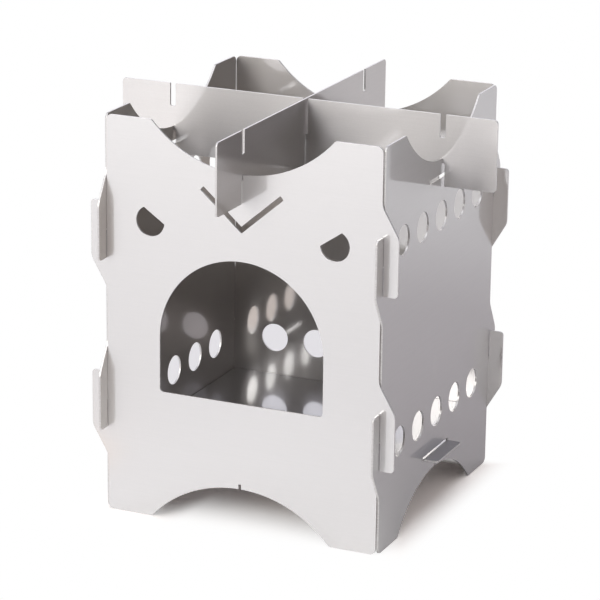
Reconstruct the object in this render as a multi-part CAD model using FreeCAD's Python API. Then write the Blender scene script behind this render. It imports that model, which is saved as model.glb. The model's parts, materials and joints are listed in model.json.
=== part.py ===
import FreeCAD, Part
import math
import os

# Flat-pack hobo stove cut from one gauge of stainless sheet: four hooked walls, a floor plate
# and two crossed blades that carry the pot. Nothing is bent, welded or screwed.
# Millimetres, +Z up, origin on the ground under the middle of the stove, fuel door towards -Y.

# Sheet and overall box
SHEET = 1.0
STOVE_HEIGHT = 200.0
WALL_SPACING = 144.0

# Wall blank: corner horns above, legs below, one shallow arc between each pair
HORN_WIDTH = 24.0
HORN_OUTER_RADIUS = 3.0
HORN_INNER_RADIUS = 2.0
ARC_DEPTH = 21.6
SLIT_DEPTH = 2.4
SLIT_CLEARANCE = 0.2

# Hooked ears that lap the walls together at the corners
EAR_REACH = 8.0
EAR_OVERLAP = 28.5
EAR_TAPER_HEIGHT = 14.6
EAR_TAPER_RADIUS = 8.0
EAR_CORNER_RADIUS = 2.0
EAR_LIP_RADIUS = 0.5
LOWER_EAR_HEIGHT = 57.0
UPPER_EAR_DROP = 57.0
EAR_SIDE_CLEARANCE = 0.3
EAR_END_CLEARANCE = 0.3
WALL_EDGE_CLEARANCE = 0.05

# Round air vents in rows
VENT_DIAMETER = 15.0
VENT_PITCH = 24.0
VENTS_PER_ROW = 5
LOWER_VENT_RISE = 20.0
UPPER_VENT_DROP = 50.0

# Fuel door, part-closed vents and V slot of the front wall
DOOR_WIDTH = 86.0
DOOR_JAMB = 28.0
DOOR_CROWN_DROP = 64.0
DOOR_CORNER_RADIUS = 2.0
VENT_LID_OFFSET = 3.6
VENT_LID_ANGLE = 34.5
V_SLOT_WIDTH = 2.5
V_SLOT_ARM = 28.6
V_SLOT_ANGLE = 41.0
V_SLOT_RADIUS = 0.4

# Floor plate and the tabs that carry it in the side walls
FLOOR_TOP = 30.0
FLOOR_CLEARANCE = 0.3
FLOOR_CORNER_RADIUS = 2.0
TAB_WIDTH = 31.0
TAB_PROJECTION = 7.5
TAB_CORNER_RADIUS = 1.5
TAB_SIDE_CLEARANCE = 1.0
TAB_HEADROOM = 1.0

# Crossed pot-rest blades
BLADE_OVERHANG = 28.0
BLADE_SLOT_WIDTH = 3.0
BLADE_SLOT_DEPTH = 11.5
BLADE_SLOT_RADIUS = 0.8
BLADE_CORNER_RADIUS = 2.0

# Places that follow from the sizes above
WALL_MIDDLE = WALL_SPACING / 2
WALL_EDGE = WALL_MIDDLE - SHEET / 2 - WALL_EDGE_CLEARANCE
EAR_SLOT_OUTER = WALL_MIDDLE + SHEET / 2 + EAR_SIDE_CLEARANCE
EAR_TIP = WALL_MIDDLE + EAR_REACH
EAR_HEIGHTS = (LOWER_EAR_HEIGHT, STOVE_HEIGHT - UPPER_EAR_DROP)
ARC_HALF_CHORD = WALL_EDGE - HORN_WIDTH
ARC_RADIUS = (ARC_HALF_CHORD ** 2 + ARC_DEPTH ** 2) / (2 * ARC_DEPTH)
SLIT_WIDTH = SHEET + 2 * SLIT_CLEARANCE
BLADE_SEAT = STOVE_HEIGHT - ARC_DEPTH - SLIT_DEPTH
LOWER_VENT_HEIGHT = FLOOR_TOP + LOWER_VENT_RISE
UPPER_VENT_HEIGHT = STOVE_HEIGHT - UPPER_VENT_DROP
OUTER_VENT = VENT_PITCH * (VENTS_PER_ROW - 1) / 2
FLOOR_HALF = WALL_MIDDLE - SHEET / 2 - FLOOR_CLEARANCE
TAB_TIP = WALL_MIDDLE + SHEET / 2 + TAB_PROJECTION
FLOOR_BOTTOM = FLOOR_TOP - SHEET
BLADE_BOTTOM = BLADE_SEAT - BLADE_SLOT_DEPTH
BLADE_HEIGHT = STOVE_HEIGHT - BLADE_BOTTOM
BLADE_HALF_LENGTH = WALL_MIDDLE + BLADE_OVERHANG

# A cutter reaches this far past the sheet that it cuts
CUT_MARGIN = 2.0
# A corner takes at most this share of the shorter side beside it
CORNER_SHARE = 0.45
# Two places this close are the same place
MATCH = 0.01

X_AXIS = FreeCAD.Vector(1, 0, 0)
Y_AXIS = FreeCAD.Vector(0, 1, 0)
Z_AXIS = FreeCAD.Vector(0, 0, 1)
ORIGIN = FreeCAD.Vector(0, 0, 0)


def in_sheet(across, up):
    """A point of a flat drawing that stands upright and faces -Y."""
    return FreeCAD.Vector(across, 0, up)


def rounded_wire(corners):
    """A closed wire through corners (across, up, radius), each turned by an arc of its radius."""
    edges = []
    starts = []
    ends = []
    arcs = []
    count = len(corners)
    for index, (across, up, radius) in enumerate(corners):
        here = in_sheet(across, up)
        before = in_sheet(*corners[index - 1][:2]) - here
        after = in_sheet(*corners[(index + 1) % count][:2]) - here
        half_turn = (math.pi - before.getAngle(after)) / 2
        setback = min(radius * math.tan(half_turn), CORNER_SHARE * min(before.Length, after.Length))
        start = here + before.normalize() * setback
        end = here + after.normalize() * setback
        starts.append(start)
        ends.append(end)
        if setback > 0:
            bisector = (before + after).normalize()
            to_centre = setback / math.sin(half_turn)
            to_arc = to_centre - setback / math.tan(half_turn)
            arcs.append(Part.Arc(start, here + bisector * to_arc, end).toShape())
        else:
            arcs.append(None)
    for index in range(count):
        if arcs[index]:
            edges.append(arcs[index])
        edges.append(Part.LineSegment(ends[index], starts[(index + 1) % count]).toShape())
    return Part.Wire(edges)


def prism(wire, thickness):
    """The flat drawing given a thickness, half to each side of it."""
    solid = Part.Face(wire).extrude(Y_AXIS * thickness)
    solid.translate(Y_AXIS * (-thickness / 2))
    return solid


def cutter(corners):
    return prism(rounded_wire(corners), SHEET + 2 * CUT_MARGIN)


def rectangle(left, right, bottom, top, radius=0.0):
    return [(left, bottom, radius), (right, bottom, radius), (right, top, radius), (left, top, radius)]


def disc_cutter(across, up, radius):
    reach = SHEET / 2 + CUT_MARGIN
    return Part.makeCylinder(radius, 2 * reach, FreeCAD.Vector(across, -reach, up), Y_AXIS)


def up_hook(middle):
    """Right-hand ear whose slot opens upwards, listed from its foot to its slot."""
    slope_top = middle - EAR_OVERLAP / 2
    lip = middle + EAR_OVERLAP / 2
    slot_end = middle - EAR_END_CLEARANCE
    return [
        (WALL_EDGE, slope_top - EAR_TAPER_HEIGHT, EAR_TAPER_RADIUS),
        (EAR_TIP, slope_top, EAR_TAPER_RADIUS),
        (EAR_TIP, lip, EAR_CORNER_RADIUS),
        (EAR_SLOT_OUTER, lip, EAR_LIP_RADIUS),
        (EAR_SLOT_OUTER, slot_end, 0.0),
        (WALL_EDGE, slot_end, 0.0),
    ]


def down_hook(middle):
    """Right-hand ear whose slot opens downwards: the other hook turned over, listed upwards."""
    return [(across, 2 * middle - up, radius) for across, up, radius in reversed(up_hook(middle))]


def wall_side(hook):
    """Right-hand side of a wall from the ground up, with its two hooks."""
    corners = [(WALL_EDGE, 0.0, HORN_OUTER_RADIUS)]
    for middle in EAR_HEIGHTS:
        corners += hook(middle)
    corners.append((WALL_EDGE, STOVE_HEIGHT, HORN_OUTER_RADIUS))
    return corners


def mirrored(corners):
    return [(-across, up, radius) for across, up, radius in reversed(corners)]


def horn_corner_edges(solid):
    """The straight edges where a horn or leg meets the arc beside it."""
    found = []
    for edge in solid.Edges:
        first, last = edge.firstVertex().Point, edge.lastVertex().Point
        through_sheet = abs((last - first).dot(Y_AXIS)) > SHEET / 2
        at_chord = abs(abs(first.x) - ARC_HALF_CHORD) < MATCH
        at_level = min(abs(first.z), abs(first.z - STOVE_HEIGHT)) < MATCH
        if through_sheet and at_chord and at_level:
            found.append(edge)
    return found


def wall_blank(left_hook, right_hook):
    """A wall without its openings: horns, legs, arcs, blade slits and hooked ears."""
    outline = wall_side(right_hook) + mirrored(wall_side(left_hook))
    blank = prism(rounded_wire(outline), SHEET)
    top_arc = disc_cutter(0.0, STOVE_HEIGHT - ARC_DEPTH + ARC_RADIUS, ARC_RADIUS)
    foot_arc = disc_cutter(0.0, ARC_DEPTH - ARC_RADIUS, ARC_RADIUS)
    blank = blank.cut([top_arc, foot_arc])
    blank = blank.makeFillet(HORN_INNER_RADIUS, horn_corner_edges(blank))
    half_slit = SLIT_WIDTH / 2
    top_slit = cutter(rectangle(-half_slit, half_slit, BLADE_SEAT, STOVE_HEIGHT))
    foot_slit = cutter(rectangle(-half_slit, half_slit, 0.0, ARC_DEPTH + SLIT_DEPTH))
    return blank.cut([top_slit, foot_slit])


def vent_rows():
    """Cutters for the lower and upper rows of round vents."""
    cutters = []
    for height in (LOWER_VENT_HEIGHT, UPPER_VENT_HEIGHT):
        for index in range(VENTS_PER_ROW):
            cutters.append(disc_cutter(index * VENT_PITCH - OUTER_VENT, height, VENT_DIAMETER / 2))
    return cutters


def tab_slots():
    """Cutters for the floor tab's slot in a side wall, and its twin for the wall turned over."""
    half_width = TAB_WIDTH / 2 + TAB_SIDE_CLEARANCE
    slot_top = FLOOR_TOP + TAB_HEADROOM
    return [
        cutter(rectangle(-half_width, half_width, FLOOR_BOTTOM, slot_top)),
        cutter(rectangle(-half_width, half_width, STOVE_HEIGHT - slot_top, STOVE_HEIGHT - FLOOR_BOTTOM)),
    ]


def door_cutters():
    """Fuel door: a round arch on straight jambs, with eased corners at the sill."""
    half_width = DOOR_WIDTH / 2
    springing = STOVE_HEIGHT - DOOR_CROWN_DROP - half_width
    sill = springing - DOOR_JAMB
    jambs = [
        (-half_width, sill, DOOR_CORNER_RADIUS),
        (half_width, sill, DOOR_CORNER_RADIUS),
        (half_width, springing, 0.0),
        (-half_width, springing, 0.0),
    ]
    above_springing = cutter(rectangle(-half_width, half_width, springing, springing + half_width))
    return [cutter(jambs), disc_cutter(0.0, springing, half_width).common(above_springing)]


def lidded_vent(side):
    """Outer upper vent of the front, its inner upper part left closed along a slanting chord."""
    vent = disc_cutter(side * OUTER_VENT, UPPER_VENT_HEIGHT, VENT_DIAMETER / 2)
    lid = cutter(rectangle(-VENT_DIAMETER, VENT_DIAMETER, VENT_LID_OFFSET, VENT_LID_OFFSET + VENT_DIAMETER))
    lid.rotate(ORIGIN, Y_AXIS, -side * VENT_LID_ANGLE)
    lid.translate(in_sheet(side * OUTER_VENT, UPPER_VENT_HEIGHT))
    return vent.cut(lid)


def v_slot():
    """V-shaped slot whose point lies level with the upper vents."""
    slope = math.radians(V_SLOT_ANGLE)
    end_across = V_SLOT_ARM * math.cos(slope)
    end_up = UPPER_VENT_HEIGHT + V_SLOT_ARM * math.sin(slope)
    inner_across = end_across - V_SLOT_WIDTH * math.sin(slope)
    inner_up = end_up + V_SLOT_WIDTH * math.cos(slope)
    right_arm = [
        (end_across, end_up, V_SLOT_RADIUS),
        (inner_across, inner_up, V_SLOT_RADIUS),
    ]
    point = (0.0, UPPER_VENT_HEIGHT, V_SLOT_RADIUS)
    crotch = (0.0, UPPER_VENT_HEIGHT + V_SLOT_WIDTH / math.cos(slope), 0.0)
    return cutter([point] + right_arm + [crotch] + mirrored(right_arm))


def stand_wall(solid, quarter_turns):
    """Move a wall from the drawing to its side: 0 front, 1 right, 2 back, 3 left."""
    placed = solid.copy()
    placed.translate(Y_AXIS * (-WALL_MIDDLE))
    placed.rotate(ORIGIN, Z_AXIS, 90.0 * quarter_turns)
    return placed


def front_panel():
    openings = door_cutters() + [lidded_vent(-1), lidded_vent(1), v_slot()]
    return stand_wall(wall_blank(up_hook, down_hook).cut(openings), 0)


def right_panel():
    return stand_wall(wall_blank(up_hook, down_hook).cut(vent_rows() + tab_slots()), 1)


def back_panel():
    """First wall to stand: both its sides wait for a neighbour from above."""
    return stand_wall(wall_blank(up_hook, up_hook).cut(vent_rows()), 2)


def left_panel():
    """Last wall to go on: both its sides drop over a neighbour and lock the box."""
    return stand_wall(wall_blank(down_hook, down_hook).cut(vent_rows() + tab_slots()), 3)


def floor_plate():
    """Square plate that lies between the walls, with a tab out through each side wall."""
    half_tab = TAB_WIDTH / 2
    right_side = [
        (FLOOR_HALF, -FLOOR_HALF, FLOOR_CORNER_RADIUS),
        (FLOOR_HALF, -half_tab, 0.0),
        (TAB_TIP, -half_tab, TAB_CORNER_RADIUS),
        (TAB_TIP, half_tab, TAB_CORNER_RADIUS),
        (FLOOR_HALF, half_tab, 0.0),
        (FLOOR_HALF, FLOOR_HALF, FLOOR_CORNER_RADIUS),
    ]
    plate = prism(rounded_wire(right_side + mirrored(right_side)), SHEET)
    plate.rotate(ORIGIN, X_AXIS, -90.0)
    plate.translate(Z_AXIS * (FLOOR_TOP - SHEET / 2))
    return plate


def blade(lap_from_top):
    """Pot-rest blade along X: wall slots in both long edges and a half-lap at the crossing."""
    half_slot = BLADE_SLOT_WIDTH / 2
    middle = BLADE_BOTTOM + BLADE_HEIGHT / 2
    outline = rectangle(
        -BLADE_HALF_LENGTH, BLADE_HALF_LENGTH, BLADE_BOTTOM, STOVE_HEIGHT, BLADE_CORNER_RADIUS
    )
    below = BLADE_BOTTOM - CUT_MARGIN
    above = STOVE_HEIGHT + CUT_MARGIN
    slots = []
    for wall in (-WALL_MIDDLE, WALL_MIDDLE):
        left = wall - half_slot
        right = wall + half_slot
        slots.append(cutter(rectangle(left, right, below, BLADE_SEAT, BLADE_SLOT_RADIUS)))
        slots.append(cutter(rectangle(left, right, STOVE_HEIGHT - BLADE_SLOT_DEPTH, above, BLADE_SLOT_RADIUS)))
    if lap_from_top:
        lap = rectangle(-half_slot, half_slot, middle, above)
    else:
        lap = rectangle(-half_slot, half_slot, below, middle)
    slots.append(cutter(lap))
    return prism(rounded_wire(outline), SHEET).cut(slots)


def lower_blade():
    return blade(lap_from_top=True)


def upper_blade():
    """The same blade turned over, across the first from front to back."""
    crossing = blade(lap_from_top=False)
    crossing.rotate(ORIGIN, Z_AXIS, 90.0)
    return crossing


PIECES = {
    "front_panel": front_panel,
    "right_panel": right_panel,
    "back_panel": back_panel,
    "left_panel": left_panel,
    "floor_plate": floor_plate,
    "lower_blade": lower_blade,
    "upper_blade": upper_blade,
}

os.makedirs("parts", exist_ok=True)
for name, make in PIECES.items():
    piece = make().removeSplitter()
    solid = piece.Solids[0]
    print(name, "solids", len(piece.Solids), "valid", solid.isValid(), "volume", round(solid.Volume, 1))
    solid.exportStep("parts/" + name + ".step")
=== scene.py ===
import bmesh
import bpy
import json
import math
from mathutils import Matrix, Vector


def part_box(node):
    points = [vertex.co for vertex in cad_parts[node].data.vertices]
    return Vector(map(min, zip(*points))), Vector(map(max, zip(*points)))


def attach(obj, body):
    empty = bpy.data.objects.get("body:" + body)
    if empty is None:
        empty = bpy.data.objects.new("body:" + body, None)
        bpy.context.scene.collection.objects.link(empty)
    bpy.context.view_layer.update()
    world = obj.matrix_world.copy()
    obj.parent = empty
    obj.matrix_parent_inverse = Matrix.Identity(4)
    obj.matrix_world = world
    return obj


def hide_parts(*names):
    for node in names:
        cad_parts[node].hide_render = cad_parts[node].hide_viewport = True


# Looks of the flat-pack hobo stove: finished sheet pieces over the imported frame, bare rolled
# stainless with laser-cut edges, on a white studio floor. Metres, +Z up, fuel door towards -Y.

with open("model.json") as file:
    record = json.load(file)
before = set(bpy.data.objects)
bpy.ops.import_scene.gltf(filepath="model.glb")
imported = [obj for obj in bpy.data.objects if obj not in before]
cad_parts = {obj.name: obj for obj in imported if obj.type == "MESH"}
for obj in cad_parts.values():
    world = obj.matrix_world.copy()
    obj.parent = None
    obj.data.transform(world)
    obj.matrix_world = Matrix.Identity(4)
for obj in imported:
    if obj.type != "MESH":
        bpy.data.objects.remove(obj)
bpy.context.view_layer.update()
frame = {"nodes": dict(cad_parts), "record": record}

AXES = {"x": 0, "y": 1, "z": 2}
NUMBER = "NodeSocketFloat"
VECTOR = "NodeSocketVector"
WHITE = (1.0, 1.0, 1.0, 1.0)

# Rounding of the laser-cut edges
EDGE_ROUND = 0.00008
EDGE_STEPS = 2
MERGE_DISTANCE = 1e-6
FLAT_ANGLE = math.radians(0.4)
SHARP_ANGLE = math.radians(40.0)

# Material slots of a sheet: a face that is square enough to its thickness is an outer or inner one
OUTER_SLOT = 0
INNER_SLOT = 1
EDGE_SLOT = 2
FACE_ALIGNMENT = 0.9
GRAIN_MAP = "grain"

# Sheet finishes: a clear mirror skin over a haze that the rolling grain spreads across itself. All faces
# are one steel; each finish's colour is set lighter or darker for the light its faces get, which is
# painted light and shade.
# Outer faces of the sides and back: colour set darker than the front's, painted shade
SIDE_PAINTED_SHADE_FINISH = {
    "colour": (0.535, 0.526, 0.520), "roughness": 0.47, "spread": 0.4,
    "skin_ior": 4.0, "skin_roughness": 0.07,
    "grain": 0.06, "cloud": 0.03, "frost": 0.03, "depth": 1.5e-6,
}
# Outer face of the front: colour set lighter, painted light
FRONT_PAINTED_LIGHT_FINISH = {
    **SIDE_PAINTED_SHADE_FINISH, "colour": (0.660, 0.653, 0.650), "roughness": 0.42, "spread": 0.2,
    "skin_roughness": 0.09,
}
# Inner faces: colour set darker and warmer, painted shade inside the stove
INSIDE_PAINTED_SHADE_FINISH = {
    **SIDE_PAINTED_SHADE_FINISH, "colour": (0.520, 0.475, 0.430), "roughness": 0.36, "spread": 0.6,
    "skin_ior": 3.1, "skin_roughness": 0.08, "grain": 0.02, "depth": 0.5e-6,
}
# Inner face of the back wall: colour set lighter than the other inner faces, painted light
BACK_INSIDE_PAINTED_LIGHT_FINISH = {
    **INSIDE_PAINTED_SHADE_FINISH, "colour": (0.700, 0.675, 0.650), "roughness": 0.40, "spread": 0.8, "skin_ior": 4.6,
}
# Floor plate: colour set darkest, painted shade deep inside the stove
PLATE_PAINTED_SHADE_FINISH = {
    **INSIDE_PAINTED_SHADE_FINISH, "colour": (0.355, 0.345, 0.360), "roughness": 0.34, "spread": 0.3, "skin_ior": 3.0,
}
# Upper blade: colour set for the light it gets, painted light
UPPER_BLADE_PAINTED_LIGHT_FINISH = {
    **SIDE_PAINTED_SHADE_FINISH, "colour": (0.670, 0.630, 0.600), "spread": 1.0,
    "skin_ior": 2.7, "skin_roughness": 0.10, "grain": 0.07, "frost": 0.07, "depth": 3.0e-6,
}
# Lower blade: colour set palest, painted light
LOWER_BLADE_PAINTED_LIGHT_FINISH = {
    **UPPER_BLADE_PAINTED_LIGHT_FINISH, "colour": (0.860, 0.840, 0.830), "roughness": 0.60, "skin_ior": 2.5,
}

# Each sheet's rolling direction and the finish of its faces, each with its painted light and shade, the
# inner one only where it differs
SHEETS = {
    "front_panel": {"grain_axis": "x", "outer": FRONT_PAINTED_LIGHT_FINISH, "inner": INSIDE_PAINTED_SHADE_FINISH},
    "right_panel": {"grain_axis": "y", "outer": SIDE_PAINTED_SHADE_FINISH, "inner": INSIDE_PAINTED_SHADE_FINISH},
    "back_panel": {"grain_axis": "x", "outer": SIDE_PAINTED_SHADE_FINISH, "inner": BACK_INSIDE_PAINTED_LIGHT_FINISH},
    "left_panel": {"grain_axis": "y", "outer": SIDE_PAINTED_SHADE_FINISH, "inner": INSIDE_PAINTED_SHADE_FINISH},
    "floor_plate": {"grain_axis": "x", "outer": PLATE_PAINTED_SHADE_FINISH},
    "lower_blade": {"grain_axis": "x", "outer": LOWER_BLADE_PAINTED_LIGHT_FINISH},
    "upper_blade": {"grain_axis": "y", "outer": UPPER_BLADE_PAINTED_LIGHT_FINISH},
}

# Rolled grain: streaks in waves per metre across and along the rolling direction, frost and clouds
GRAIN_ACROSS = 2600.0
GRAIN_ALONG = 45.0
STREAK_NOISE = {"scale": 1.0, "detail": 5.0, "roughness": 0.62}
FROST_NOISE = {"scale": 1300.0, "detail": 3.0, "roughness": 0.6}
CLOUD_NOISE = {"scale": 16.0, "detail": 3.0, "roughness": 0.55}
NOISE_MIDDLE = 0.5
FROST_HEIGHT = 0.5

# Hairline scratches: two sets, each turned its own way and gathered in patches
HAIRLINE_TURNS = (
    {"line": (0.35, 0.5, 0.9), "patch": (0.0, 0.0, 0.0)},
    {"line": (1.2, 0.2, 2.1), "patch": (7.0, 0.0, 0.0)},
)
HAIRLINE_STRETCH = (900.0, 900.0, 9.0)
HAIRLINE_NOISE = {"scale": 1.0, "detail": 1.0, "roughness": 0.5}
HAIRLINE_CREST = (0.006, 0.0)
PATCH_STRETCH = (22.0, 22.0, 22.0)
PATCH_NOISE = {"scale": 1.0, "detail": 2.0, "roughness": 0.5}
PATCH_RANGE = (0.62, 0.74)
SCRATCH_LIGHT = 0.05

# Dark specks, in cells of which some are chosen, and dull smudges of handling
SPECK_SCALE = 48.0
SPECK_RADIUS = (0.024, 0.012)
SPECK_CHOICE = 0.72
SPECK_DARKNESS = 0.7
SPECK_DULLS_SKIN = 0.8
SMUDGE_NOISE = {"scale": 38.0, "detail": 4.0, "roughness": 0.6}
SMUDGE_RANGE = (0.55, 0.78)
SMUDGE_DULLS_SKIN = 0.06

# Laser-cut edges: drag lines in waves per metre along the edge and across the sheet's thickness
EDGE_COLOUR = (0.70, 0.69, 0.68)
EDGE_METALLIC = 0.8
EDGE_ROUGHNESS = 0.30
RIDGE_ALONG_EDGE = 5200.0
RIDGE_ACROSS_SHEET = 160.0
RIDGE_NOISE = {"scale": 1.0, "detail": 3.0, "roughness": 0.55}
RIDGE_RANGE = (0.3, 0.7)
RIDGE_TONE = (0.86, 1.08)
RIDGE_DEPTH = 6.0e-6

# Camera, solved from the photograph's corner points
CAMERA_PLACE = (0.567875, -1.275680, 0.529200)
CAMERA_YAW = 23.74
CAMERA_PITCH = 17.10
CAMERA_ROLL = 0.825
CAMERA_LENS = 176.5
CAMERA_SENSOR = 36.0
CAMERA_SHIFT = (-0.0264, -0.0074)
CAMERA_LEVEL = 90.0

# Studio floor of pale paper, which lights the stove by its own colour
FLOOR_HALF_SIZE = 12.0
FLOOR_DROP = 0.0001
FLOOR_ALBEDO = (0.80, 0.80, 0.80, 1.0)

# Floor in the metal: white, with painted tones: a painted shadow of the stove behind on the right,
# painted shade far ahead on the right, painted light close ahead and warm painted light beside the left
# corner, each fading in from the first distance to the second
FLOOR_IN_METAL = (1.11, 1.10, 1.085, 1.0)
METAL_PAINTED_LIGHT_ZONES = (
    {"middle": (0.155, 0.165, 0.0), "fade": (0.42, 0.12), "colour": (0.74, 0.705, 0.71, 1.0)},
    {"middle": (0.250, -0.400, 0.0), "fade": (0.24, 0.17), "colour": (0.67, 0.61, 0.57, 1.0)},
    {"middle": (0.0, -0.100, 0.0), "fade": (0.24, 0.05), "colour": (1.25, 1.24, 1.22, 1.0)},
    {"middle": (-0.148, -0.122, 0.0), "fade": (0.06, 0.035), "colour": (1.34, 1.20, 1.08, 1.0)},
)

# Floor to the camera: shaded paper under the stove that fades to white on each side of it
FLOOR_SEEN = (1.62, 1.51, 1.42, 1.0)
WHITE_SIDE = (0.066, 0.088)
WHITE_FRONT = (-0.025, -0.080)
WHITE_REAR = (0.060, 0.076)
LEFT_LEG = (-0.030, -0.045)
LEFT_LEG_SHADE = 0.020

# Soft grey oval of floor behind the back wall: a painted shadow of the stove, where the lamp-lit paper is
# kept from turning white
BEHIND_SHADOW_COLOUR = (1.00, 0.995, 1.00, 1.0)
BEHIND_MIDDLE = (-0.078, 0.177, 0.0)
BEHIND_TURN = (0.0, 0.0, math.radians(23.74))
BEHIND_REACH = (0.105, 0.140, 1.0)
BEHIND_FADE = (1.10, 0.65)
OVAL_MIDDLE = (0.0, 0.0, 0.0)

# Softbox: azimuth from the front towards the right, elevation, distance, width and height, radiance
KEY_BOX = {
    "azimuth": -22.5, "elevation": 18.0, "distance": 2.4, "size": (0.95, 1.45),
    "radiance": 3.5, "colour": (1.0, 0.975, 0.945),
}
LAMP_AIM = (0.0, 0.0, 0.1)

# Glows of the dome: high in front on the left, the backdrop on the left and on the right, the room
# on the right and above; a higher focus gathers the glow closer round its heading
GLOWS = (
    {"azimuth": -45.0, "elevation": 60.0, "focus": 5.0, "colour": (1.38, 1.38, 1.43)},
    {"azimuth": -155.0, "elevation": 10.0, "focus": 5.0, "colour": (1.28, 1.27, 1.36)},
    {"azimuth": 150.0, "elevation": 12.0, "focus": 6.0, "colour": (0.20, 0.19, 0.215)},
    {"azimuth": 75.0, "elevation": 28.0, "focus": 5.0, "colour": (0.55, 0.53, 0.53)},
    {"azimuth": 0.0, "elevation": 90.0, "focus": 3.0, "colour": (0.35, 0.34, 0.36)},
)
ROOM_COLOUR = (0.030, 0.029, 0.030)


def thin_axis(node):
    """Name of the axis along which a flat sheet piece is thinnest."""
    low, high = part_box(node)
    return min(AXES, key=lambda axis: high[AXES[axis]] - low[AXES[axis]])


def heading(azimuth, elevation):
    """Unit vector: azimuth 0 is the front, -Y, and 90 the right, +X, in degrees."""
    turn = math.radians(azimuth)
    rise = math.radians(elevation)
    return Vector((math.sin(turn) * math.cos(rise), -math.cos(turn) * math.cos(rise), math.sin(rise)))


# Node helpers

def link(tree, source, socket):
    """Give a socket a value, or link another node's output to it."""
    if isinstance(source, bpy.types.NodeSocket):
        tree.links.new(source, socket)
    else:
        socket.default_value = source


def math_step(tree, operation, first, second=0.0):
    """One step of arithmetic on values or outputs."""
    node = tree.nodes.new("ShaderNodeMath")
    node.operation = operation
    link(tree, first, node.inputs[0])
    link(tree, second, node.inputs[1])
    return node.outputs["Value"]


def noise(tree, vector, scale, detail, roughness):
    """Smooth noise from 0 to 1."""
    node = tree.nodes.new("ShaderNodeTexNoise")
    link(tree, vector, node.inputs["Vector"])
    node.inputs["Scale"].default_value = scale
    node.inputs["Detail"].default_value = detail
    node.inputs["Roughness"].default_value = roughness
    return node.outputs["Fac"]


def mapped(tree, vector, scale, turn=(0.0, 0.0, 0.0)):
    """Coordinates that are scaled along each axis, then turned."""
    node = tree.nodes.new("ShaderNodeMapping")
    link(tree, vector, node.inputs["Vector"])
    node.inputs["Scale"].default_value = scale
    node.inputs["Rotation"].default_value = turn
    return node.outputs["Vector"]


def remap(tree, value, low, high, new_low=0.0, new_high=1.0):
    """Smooth step of a value from one range to another."""
    node = tree.nodes.new("ShaderNodeMapRange")
    node.interpolation_type = "SMOOTHSTEP"
    link(tree, value, node.inputs["Value"])
    node.inputs["From Min"].default_value = low
    node.inputs["From Max"].default_value = high
    node.inputs["To Min"].default_value = new_low
    node.inputs["To Max"].default_value = new_high
    return node.outputs["Result"]


def distance_from(tree, place, middle):
    """Distance of a place from a fixed point."""
    node = tree.nodes.new("ShaderNodeVectorMath")
    node.operation = "DISTANCE"
    link(tree, place, node.inputs[0])
    node.inputs[1].default_value = middle
    return node.outputs["Value"]


def mixed(tree, share, first, second):
    """Two shaders, the second one by its share."""
    node = tree.nodes.new("ShaderNodeMixShader")
    link(tree, share, node.inputs["Fac"])
    link(tree, first, node.inputs[1])
    link(tree, second, node.inputs[2])
    return node.outputs["Shader"]


def new_group(name, inputs, outputs):
    """An empty shader node group: its tree, its input sockets and its output sockets."""
    group = bpy.data.node_groups.new(name, "ShaderNodeTree")
    for socket, kind in inputs.items():
        group.interface.new_socket(socket, in_out="INPUT", socket_type=kind)
    for socket, kind in outputs.items():
        group.interface.new_socket(socket, in_out="OUTPUT", socket_type=kind)
    return group, group.nodes.new("NodeGroupInput").outputs, group.nodes.new("NodeGroupOutput").inputs


def placed_group(tree, group, values):
    """A node group placed in a material with its own values."""
    node = tree.nodes.new("ShaderNodeGroup")
    node.node_tree = group
    for socket, value in values.items():
        link(tree, value, node.inputs[socket])
    return node.outputs


# Shared surface effects

def swing(tree, value, strength):
    """How far a noise is from its middle, times a strength."""
    return math_step(tree, "MULTIPLY", math_step(tree, "SUBTRACT", value, NOISE_MIDDLE), strength)


def rolled_grain_group():
    """Fine streaks along the rolling direction, a frosty speckle and slow clouds of tone."""
    group, inside, out = new_group(
        "rolled_grain",
        {"Streak Vector": VECTOR, "Vector": VECTOR, "Grain": NUMBER, "Frost": NUMBER, "Cloud": NUMBER},
        {"Tone": NUMBER, "Dullness": NUMBER, "Height": NUMBER},
    )
    streak = noise(group, inside["Streak Vector"], **STREAK_NOISE)
    frost = noise(group, inside["Vector"], **FROST_NOISE)
    cloud = noise(group, inside["Vector"], **CLOUD_NOISE)
    frost_part = swing(group, frost, inside["Frost"])
    fine = math_step(group, "ADD", swing(group, streak, inside["Grain"]), frost_part)
    whole = math_step(group, "ADD", fine, swing(group, cloud, inside["Cloud"]))
    frost_height = math_step(group, "MULTIPLY", frost, FROST_HEIGHT)
    link(group, math_step(group, "ADD", whole, 1.0), out["Tone"])
    link(group, math_step(group, "SUBTRACT", frost_part, whole), out["Dullness"])
    link(group, math_step(group, "ADD", streak, frost_height), out["Height"])
    return group


def hairlines(group, place, turns):
    """Thin scratches along one direction, where their patches are."""
    ridge = noise(group, mapped(group, place, HAIRLINE_STRETCH, turns["line"]), **HAIRLINE_NOISE)
    crest = math_step(group, "ABSOLUTE", math_step(group, "SUBTRACT", ridge, NOISE_MIDDLE))
    patch = noise(group, mapped(group, place, PATCH_STRETCH, turns["patch"]), **PATCH_NOISE)
    return math_step(
        group, "MULTIPLY", remap(group, crest, *HAIRLINE_CREST), remap(group, patch, *PATCH_RANGE)
    )


def specks(group, place):
    """A small dot in each of the chosen cells."""
    cells = group.nodes.new("ShaderNodeTexVoronoi")
    link(group, place, cells.inputs["Vector"])
    cells.inputs["Scale"].default_value = SPECK_SCALE
    dot = remap(group, cells.outputs["Distance"], *SPECK_RADIUS)
    draw = group.nodes.new("ShaderNodeSeparateColor")
    link(group, cells.outputs["Color"], draw.inputs["Color"])
    chosen = math_step(group, "GREATER_THAN", draw.outputs["Red"], SPECK_CHOICE)
    return math_step(group, "MULTIPLY", dot, chosen)


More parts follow.
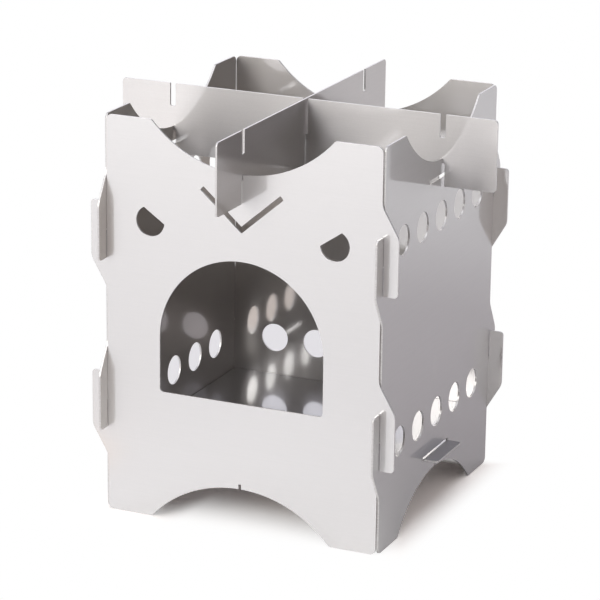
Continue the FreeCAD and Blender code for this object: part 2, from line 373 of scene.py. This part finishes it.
def handling_marks_group():
    """Hairline scratches in two directions, a few dark specks and dull smudges of handling."""
    group, inside, out = new_group(
        "handling_marks", {"Vector": VECTOR}, {"Scratch": NUMBER, "Speck": NUMBER, "Smudge": NUMBER}
    )
    place = inside["Vector"]
    scratches = [hairlines(group, place, turns) for turns in HAIRLINE_TURNS]
    link(group, math_step(group, "MAXIMUM", *scratches), out["Scratch"])
    link(group, specks(group, place), out["Speck"])
    link(group, remap(group, noise(group, place, **SMUDGE_NOISE), *SMUDGE_RANGE), out["Smudge"])
    return group


def cut_ridges_group():
    """Drag lines that the laser leaves across a cut edge."""
    group, inside, out = new_group(
        "cut_ridges", {"Ridge Vector": VECTOR}, {"Tone": NUMBER, "Height": NUMBER}
    )
    ridge = noise(group, inside["Ridge Vector"], **RIDGE_NOISE)
    link(group, remap(group, ridge, *RIDGE_RANGE, *RIDGE_TONE), out["Tone"])
    link(group, ridge, out["Height"])
    return group


ROLLED_GRAIN = rolled_grain_group()
HANDLING_MARKS = handling_marks_group()
CUT_RIDGES = cut_ridges_group()


# Materials

def toned(tree, colour, tone):
    """The colour multiplied by a tone that varies over the surface."""
    node = tree.nodes.new("ShaderNodeMix")
    node.data_type = "RGBA"
    node.blend_type = "MULTIPLY"
    node.inputs["Factor"].default_value = 1.0
    node.inputs["A"].default_value = (*colour, 1.0)
    link(tree, tone, node.inputs["B"])
    return node.outputs["Result"]


def bumped(tree, height, depth):
    """Normal of a surface with fine relief."""
    node = tree.nodes.new("ShaderNodeBump")
    node.inputs["Distance"].default_value = depth
    link(tree, height, node.inputs["Height"])
    return node.outputs["Normal"]


def stretched(tree, place, most, axis, least):
    """Coordinates with many waves per metre along two axes and few along the third."""
    scale = [most] * len(AXES)
    scale[AXES[axis]] = least
    return mapped(tree, place, scale)


def new_metal(name):
    """An empty metal: the material, its tree, its shader and the place on the piece."""
    material = bpy.data.materials.new(name)
    material.use_nodes = True
    tree = material.node_tree
    place = tree.nodes.new("ShaderNodeTexCoord").outputs["Object"]
    return material, tree, tree.nodes["Principled BSDF"], place


def rolled_steel(name, finish_and_painted_light, grain_axis):
    """Bare stainless sheet whose rolling grain runs along one axis, its base colour carrying the painted
    light and shade of its faces.
    """
    material, tree, shader, place = new_metal(name)
    grain = placed_group(tree, ROLLED_GRAIN, {
        "Streak Vector": stretched(tree, place, GRAIN_ACROSS, grain_axis, GRAIN_ALONG), "Vector": place,
        "Grain": finish_and_painted_light["grain"], "Frost": finish_and_painted_light["frost"], "Cloud": finish_and_painted_light["cloud"],
    })
    marks = placed_group(tree, HANDLING_MARKS, {"Vector": place})
    dark = math_step(tree, "MULTIPLY", marks["Speck"], SPECK_DARKNESS)
    light = math_step(tree, "MULTIPLY", marks["Scratch"], SCRATCH_LIGHT)
    tone = math_step(tree, "ADD", math_step(tree, "SUBTRACT", grain["Tone"], dark), light)
    # Base colour: the finish's colour, which is painted light and shade, toned by grain, specks and
    # scratches
    link(tree, toned(tree, finish_and_painted_light["colour"], tone), shader.inputs["Base Color"])
    shader.inputs["Metallic"].default_value = 1.0
    link(tree, math_step(tree, "ADD", grain["Dullness"], finish_and_painted_light["roughness"]), shader.inputs["Roughness"])
    shader.inputs["Anisotropic"].default_value = finish_and_painted_light["spread"]
    across = tree.nodes.new("ShaderNodeTangent")
    across.direction_type = "UV_MAP"
    across.uv_map = GRAIN_MAP
    link(tree, across.outputs["Tangent"], shader.inputs["Tangent"])
    link(tree, bumped(tree, grain["Height"], finish_and_painted_light["depth"]), shader.inputs["Normal"])
    specked = math_step(tree, "MULTIPLY", marks["Speck"], SPECK_DULLS_SKIN)
    handled = math_step(tree, "MULTIPLY", marks["Smudge"], SMUDGE_DULLS_SKIN)
    spoiled = math_step(tree, "MAXIMUM", specked, handled)
    link(tree, math_step(tree, "SUBTRACT", 1.0, spoiled), shader.inputs["Coat Weight"])
    shader.inputs["Coat IOR"].default_value = finish_and_painted_light["skin_ior"]
    shader.inputs["Coat Roughness"].default_value = finish_and_painted_light["skin_roughness"]
    return material


def cut_edge(name, sheet_axis):
    """Laser-cut edge of a sheet, with drag lines across its thickness."""
    material, tree, shader, place = new_metal(name)
    ridges = placed_group(tree, CUT_RIDGES, {
        "Ridge Vector": stretched(tree, place, RIDGE_ALONG_EDGE, sheet_axis, RIDGE_ACROSS_SHEET),
    })
    link(tree, toned(tree, EDGE_COLOUR, ridges["Tone"]), shader.inputs["Base Color"])
    shader.inputs["Metallic"].default_value = EDGE_METALLIC
    shader.inputs["Roughness"].default_value = EDGE_ROUGHNESS
    link(tree, bumped(tree, ridges["Height"], RIDGE_DEPTH), shader.inputs["Normal"])
    return material


EDGE_STEEL = {axis: cut_edge("cut_edge_" + axis, axis) for axis in AXES}


def sheet_materials(node):
    """Materials of a sheet's outer face, inner face and cut edges, in the order of their slots."""
    sheet = SHEETS[node]
    # Outer and inner faces take finishes whose colours are painted light and shade
    outer = rolled_steel(node + "_steel", sheet["outer"], sheet["grain_axis"])
    inner = outer
    if "inner" in sheet:
        inner = rolled_steel(node + "_inside", sheet["inner"], sheet["grain_axis"])
    return outer, inner, EDGE_STEEL[thin_axis(node)]


# Pieces

def rounded_sheet(node):
    """A copy of a CAD sheet with its laser-cut edges rounded."""
    shape = bmesh.new()
    shape.from_mesh(frame["nodes"][node].data)
    bmesh.ops.remove_doubles(shape, verts=shape.verts[:], dist=MERGE_DISTANCE)
    bmesh.ops.dissolve_limit(
        shape, angle_limit=FLAT_ANGLE, verts=shape.verts[:], edges=shape.edges[:],
        use_dissolve_boundaries=False,
    )
    sharp = [edge for edge in shape.edges if edge.is_manifold and edge.calc_face_angle() > SHARP_ANGLE]
    bmesh.ops.bevel(
        shape, geom=sharp, offset=EDGE_ROUND, offset_type="OFFSET", affect="EDGES",
        segments=EDGE_STEPS, profile=0.5, material=-1, clamp_overlap=True,
    )
    return shape


def sort_faces(shape, thin, outward):
    """Give a sheet's outer face, inner face and cut edges their material slots."""
    for face in shape.faces:
        face.smooth = True
        facing = face.normal[thin] * outward
        if facing > FACE_ALIGNMENT:
            face.material_index = OUTER_SLOT
        elif facing < -FACE_ALIGNMENT:
            face.material_index = INNER_SLOT
        else:
            face.material_index = EDGE_SLOT


def lay_grain_map(shape, across, along):
    """UV map that runs across and along the rolling grain."""
    grain_map = shape.loops.layers.uv.new(GRAIN_MAP)
    for face in shape.faces:
        for corner in face.loops:
            corner[grain_map].uv = (corner.vert.co[across], corner.vert.co[along])


def finished_sheet(node, body):
    """A sheet piece over its CAD node, its two broad faces and its cut edges in their own finish."""
    thin = AXES[thin_axis(node)]
    along = AXES[SHEETS[node]["grain_axis"]]
    across = sum(AXES.values()) - thin - along
    outward = math.copysign(1.0, sum(corner[thin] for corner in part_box(node)))
    shape = rounded_sheet(node)
    sort_faces(shape, thin, outward)
    lay_grain_map(shape, across, along)
    mesh = bpy.data.meshes.new(node + "_finished")
    shape.to_mesh(mesh)
    shape.free()
    for material in sheet_materials(node):
        mesh.materials.append(material)
    piece = bpy.data.objects.new(node + "_finished", mesh)
    bpy.context.scene.collection.objects.link(piece)
    weighted = piece.modifiers.new("weighted_normals", "WEIGHTED_NORMAL")
    weighted.mode = "FACE_AREA"
    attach(piece, body)
    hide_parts(node)


# Studio

def paper(tree, colour):
    """Matt paper of one colour."""
    node = tree.nodes.new("ShaderNodeBsdfDiffuse")
    node.inputs["Color"].default_value = colour
    return node.outputs["BSDF"]


def floor_in_metal(tree, place):
    """The floor that the metal mirrors, with zones of painted shadow, shade and light round the stove."""
    shown = paper(tree, FLOOR_IN_METAL)
    for zone in METAL_PAINTED_LIGHT_ZONES:
        share = remap(tree, distance_from(tree, place, zone["middle"]), *zone["fade"])
        shown = mixed(tree, share, shown, paper(tree, zone["colour"]))
    return shown


def floor_under_stove(tree, place):
    """The shaded paper under the stove, which turns white beside, before and behind it."""
    apart = tree.nodes.new("ShaderNodeSeparateXYZ")
    link(tree, place, apart.inputs["Vector"])
    beside = remap(tree, math_step(tree, "ABSOLUTE", apart.outputs["X"]), *WHITE_SIDE)
    at_leg = remap(tree, apart.outputs["X"], *LEFT_LEG, 0.0, LEFT_LEG_SHADE)
    ahead = remap(tree, math_step(tree, "ADD", apart.outputs["Y"], at_leg), *WHITE_FRONT)
    along = math_step(tree, "MAXIMUM", ahead, remap(tree, apart.outputs["Y"], *WHITE_REAR))
    white = tree.nodes.new("ShaderNodeEmission").outputs["Emission"]
    return mixed(tree, math_step(tree, "MAXIMUM", beside, along), paper(tree, FLOOR_SEEN), white)


def share_in_painted_shadow(tree, place):
    """How much a place lies in the soft oval of painted shadow behind the stove."""
    oval = tree.nodes.new("ShaderNodeMapping")
    oval.vector_type = "TEXTURE"
    link(tree, place, oval.inputs["Vector"])
    oval.inputs["Location"].default_value = BEHIND_MIDDLE
    oval.inputs["Rotation"].default_value = BEHIND_TURN
    oval.inputs["Scale"].default_value = BEHIND_REACH
    return remap(tree, distance_from(tree, oval.outputs["Vector"], OVAL_MIDDLE), *BEHIND_FADE)


def floor_paper():
    """Pale paper, shown white to the camera and in the metal, that keeps the stove's soft shadow, with a
    painted shadow behind the stove and painted light and shade in the metal.
    """
    material = bpy.data.materials.new("floor_paper")
    material.use_nodes = True
    tree = material.node_tree
    tree.nodes.clear()
    path = tree.nodes.new("ShaderNodeLightPath")
    place = tree.nodes.new("ShaderNodeTexCoord").outputs["Object"]
    plain = paper(tree, FLOOR_ALBEDO)
    lighting = mixed(tree, path.outputs["Is Glossy Ray"], plain, floor_in_metal(tree, place))
    # Painted shadow: the oval behind the stove shows lamp-lit paper instead of white
    painted_shadow_paper = paper(tree, BEHIND_SHADOW_COLOUR)
    seen = mixed(tree, share_in_painted_shadow(tree, place), floor_under_stove(tree, place), painted_shadow_paper)
    output = tree.nodes.new("ShaderNodeOutputMaterial")
    link(tree, mixed(tree, path.outputs["Is Camera Ray"], lighting, seen), output.inputs["Surface"])
    return material


def studio_floor():
    """Wide paper floor just below the stove's feet."""
    shape = bmesh.new()
    bmesh.ops.create_grid(shape, x_segments=1, y_segments=1, size=FLOOR_HALF_SIZE)
    bmesh.ops.translate(shape, verts=shape.verts[:], vec=(0.0, 0.0, -FLOOR_DROP))
    mesh = bpy.data.meshes.new("studio_floor")
    shape.to_mesh(mesh)
    shape.free()
    mesh.materials.append(floor_paper())
    floor = bpy.data.objects.new("studio_floor", mesh)
    bpy.context.scene.collection.objects.link(floor)


def glow(tree, direction, azimuth, elevation, focus, colour):
    """Light of the dome that gathers round one heading."""
    towards = tree.nodes.new("ShaderNodeVectorMath")
    towards.operation = "DOT_PRODUCT"
    link(tree, direction, towards.inputs[0])
    towards.inputs[1].default_value = heading(azimuth, elevation)
    facing = math_step(tree, "MAXIMUM", towards.outputs["Value"], 0.0)
    light = tree.nodes.new("ShaderNodeBackground")
    light.inputs["Color"].default_value = (*colour, 1.0)
    link(tree, math_step(tree, "POWER", facing, focus), light.inputs["Strength"])
    return light.outputs["Background"]


def studio_world():
    """Dim room with the glows of its dome, plain white to the camera."""
    world = bpy.data.worlds.new("studio")
    bpy.context.scene.world = world
    world.use_nodes = True
    tree = world.node_tree
    tree.nodes.clear()
    direction = tree.nodes.new("ShaderNodeTexCoord").outputs["Generated"]
    room = tree.nodes.new("ShaderNodeBackground")
    room.inputs["Color"].default_value = (*ROOM_COLOUR, 1.0)
    lit = room.outputs["Background"]
    for lobe in GLOWS:
        both = tree.nodes.new("ShaderNodeAddShader")
        link(tree, lit, both.inputs[0])
        link(tree, glow(tree, direction, **lobe), both.inputs[1])
        lit = both.outputs["Shader"]
    white = tree.nodes.new("ShaderNodeBackground")
    white.inputs["Color"].default_value = WHITE
    path = tree.nodes.new("ShaderNodeLightPath")
    shown = mixed(tree, path.outputs["Is Camera Ray"], lit, white.outputs["Background"])
    output = tree.nodes.new("ShaderNodeOutputWorld")
    link(tree, shown, output.inputs["Surface"])


def softbox(name, azimuth, elevation, distance, size, radiance, colour):
    """Rectangular lamp that faces the stove, as bright as its radiance says at any size."""
    data = bpy.data.lights.new(name, "AREA")
    data.shape = "RECTANGLE"
    data.size, data.size_y = size
    data.energy = math.pi * size[0] * size[1] * radiance
    data.color = colour
    lamp = bpy.data.objects.new(name, data)
    bpy.context.scene.collection.objects.link(lamp)
    away = heading(azimuth, elevation)
    lamp.location = Vector(LAMP_AIM) + away * distance
    lamp.rotation_euler = (-away).to_track_quat("-Z", "Y").to_euler()


def turned(degrees, axis):
    """Turn about one axis."""
    return Matrix.Rotation(math.radians(degrees), 4, axis)


def photo_camera():
    """Camera that stands where the photograph was taken from."""
    data = bpy.data.cameras.new("photo_camera")
    data.lens = CAMERA_LENS
    data.sensor_width = CAMERA_SENSOR
    data.shift_x, data.shift_y = CAMERA_SHIFT
    camera = bpy.data.objects.new("photo_camera", data)
    bpy.context.scene.collection.objects.link(camera)
    aim = turned(CAMERA_YAW, "Z") @ turned(CAMERA_LEVEL - CAMERA_PITCH, "X") @ turned(CAMERA_ROLL, "Z")
    camera.matrix_world = Matrix.Translation(CAMERA_PLACE) @ aim
    bpy.context.scene.camera = camera


for body, nodes in frame["record"]["behaviour"]["bodies"].items():
    for node in nodes:
        finished_sheet(node, body)

studio_floor()
studio_world()
softbox("key_softbox", **KEY_BOX)
photo_camera()
bpy.context.scene.view_settings.view_transform = "Standard"
